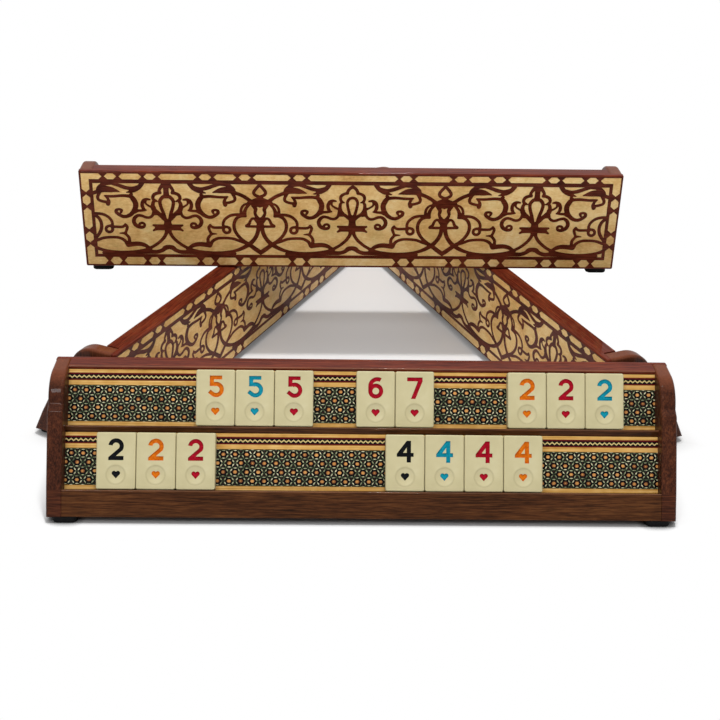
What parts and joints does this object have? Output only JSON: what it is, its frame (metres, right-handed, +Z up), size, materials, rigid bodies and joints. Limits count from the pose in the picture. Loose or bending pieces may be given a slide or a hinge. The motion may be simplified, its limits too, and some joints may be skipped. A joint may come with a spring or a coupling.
{
  "type": "rummy tile rack set",
  "caption": "Set of two-tier wooden tile racks with marquetry panels and patterned backs, stood in a triangle with one stacked on top, holding numbered rummy tiles.",
  "frame": {"origin": "middle of the set's outline on the surface that it stands on", "axes": "+Z up, -Y towards the player at the front rack, +X to that player's right"},
  "size_m": [0.4594, 0.4728, 0.156],
  "materials": {
    "walnut": "dark walnut under high-gloss lacquer",
    "mahogany": "reddish mahogany under high-gloss lacquer",
    "marquetry": "star marquetry with yellow bands, lacquered",
    "strapwork": "honey wood inlaid with dark scrolling strapwork, lacquered",
    "rubber": "matt black",
    "tile": "satin cream with coloured engraving"
  },
  "bodies": {
    "front_rack": {"front_left_cap": "walnut", "front_right_cap": "walnut", "front_base_rail": "walnut", "front_bottom_board": "walnut", "front_lower_panel": "marquetry", "front_mid_rail": "walnut", "front_upper_panel": "marquetry", "front_top_rail": "mahogany", "front_back_panel": "strapwork", "front_pads": "rubber"},
    "left_rack": {"left_left_cap": "walnut", "left_right_cap": "walnut", "left_base_rail": "walnut", "left_bottom_board": "walnut", "left_lower_panel": "marquetry", "left_mid_rail": "walnut", "left_upper_panel": "marquetry", "left_top_rail": "mahogany", "left_back_panel": "strapwork", "left_pads": "rubber"},
    "right_rack": {"right_left_cap": "walnut", "right_right_cap": "walnut", "right_base_rail": "walnut", "right_bottom_board": "walnut", "right_lower_panel": "marquetry", "right_mid_rail": "walnut", "right_upper_panel": "marquetry", "right_top_rail": "mahogany", "right_back_panel": "strapwork", "right_pads": "rubber"},
    "top_rack": {"top_left_cap": "walnut", "top_right_cap": "walnut", "top_base_rail": "walnut", "top_bottom_board": "walnut", "top_lower_panel": "marquetry", "top_mid_rail": "walnut", "top_upper_panel": "marquetry", "top_top_rail": "mahogany", "top_back_panel": "strapwork", "top_pads": "rubber"},
    "tile_5_orange": {"tile_5_orange": "tile"},
    "tile_5_teal": {"tile_5_teal": "tile"},
    "tile_5_red": {"tile_5_red": "tile"},
    "tile_6_red": {"tile_6_red": "tile"},
    "tile_7_red": {"tile_7_red": "tile"},
    "tile_2_orange_upper": {"tile_2_orange_upper": "tile"},
    "tile_2_red_upper": {"tile_2_red_upper": "tile"},
    "tile_2_teal": {"tile_2_teal": "tile"},
    "tile_2_black": {"tile_2_black": "tile"},
    "tile_2_orange_lower": {"tile_2_orange_lower": "tile"},
    "tile_2_red_lower": {"tile_2_red_lower": "tile"},
    "tile_4_black": {"tile_4_black": "tile"},
    "tile_4_teal": {"tile_4_teal": "tile"},
    "tile_4_red": {"tile_4_red": "tile"},
    "tile_4_orange": {"tile_4_orange": "tile"}
  },
  "joints": [
    {"name": "left_rack_slide", "type": "slide", "parent": "front_rack", "child": "left_rack", "axis": [-0.9033, 0.4289, 0], "range_m": [0, 0.05]},
    {"name": "right_rack_slide", "type": "slide", "parent": "front_rack", "child": "right_rack", "axis": [0.9225, 0.3859, 0], "range_m": [0, 0.05]},
    {"name": "top_rack_lift", "type": "slide", "parent": "front_rack", "child": "top_rack", "axis": [0, 0, 1], "range_m": [0, 0.1]},
    {"name": "tile_5_orange_lift", "type": "slide", "parent": "front_rack", "child": "tile_5_orange", "axis": [0, 0, 1], "range_m": [0, 0.06]},
    {"name": "tile_5_teal_lift", "type": "slide", "parent": "front_rack", "child": "tile_5_teal", "axis": [0, 0, 1], "range_m": [0, 0.06]},
    {"name": "tile_5_red_lift", "type": "slide", "parent": "front_rack", "child": "tile_5_red", "axis": [0, 0, 1], "range_m": [0, 0.06]},
    {"name": "tile_6_red_lift", "type": "slide", "parent": "front_rack", "child": "tile_6_red", "axis": [0, 0, 1], "range_m": [0, 0.06]},
    {"name": "tile_7_red_lift", "type": "slide", "parent": "front_rack", "child": "tile_7_red", "axis": [0, 0, 1], "range_m": [0, 0.06]},
    {"name": "tile_2_orange_upper_lift", "type": "slide", "parent": "front_rack", "child": "tile_2_orange_upper", "axis": [0, 0, 1], "range_m": [0, 0.06]},
    {"name": "tile_2_red_upper_lift", "type": "slide", "parent": "front_rack", "child": "tile_2_red_upper", "axis": [0, 0, 1], "range_m": [0, 0.06]},
    {"name": "tile_2_teal_lift", "type": "slide", "parent": "front_rack", "child": "tile_2_teal", "axis": [0, 0, 1], "range_m": [0, 0.06]},
    {"name": "tile_2_black_lift", "type": "slide", "parent": "front_rack", "child": "tile_2_black", "axis": [0, 0, 1], "range_m": [0, 0.06]},
    {"name": "tile_2_orange_lower_lift", "type": "slide", "parent": "front_rack", "child": "tile_2_orange_lower", "axis": [0, 0, 1], "range_m": [0, 0.06]},
    {"name": "tile_2_red_lower_lift", "type": "slide", "parent": "front_rack", "child": "tile_2_red_lower", "axis": [0, 0, 1], "range_m": [0, 0.06]},
    {"name": "tile_4_black_lift", "type": "slide", "parent": "front_rack", "child": "tile_4_black", "axis": [0, 0, 1], "range_m": [0, 0.06]},
    {"name": "tile_4_teal_lift", "type": "slide", "parent": "front_rack", "child": "tile_4_teal", "axis": [0, 0, 1], "range_m": [0, 0.06]},
    {"name": "tile_4_red_lift", "type": "slide", "parent": "front_rack", "child": "tile_4_red", "axis": [0, 0, 1], "range_m": [0, 0.06]},
    {"name": "tile_4_orange_lift", "type": "slide", "parent": "front_rack", "child": "tile_4_orange", "axis": [0, 0, 1], "range_m": [0, 0.06]}
  ]
}
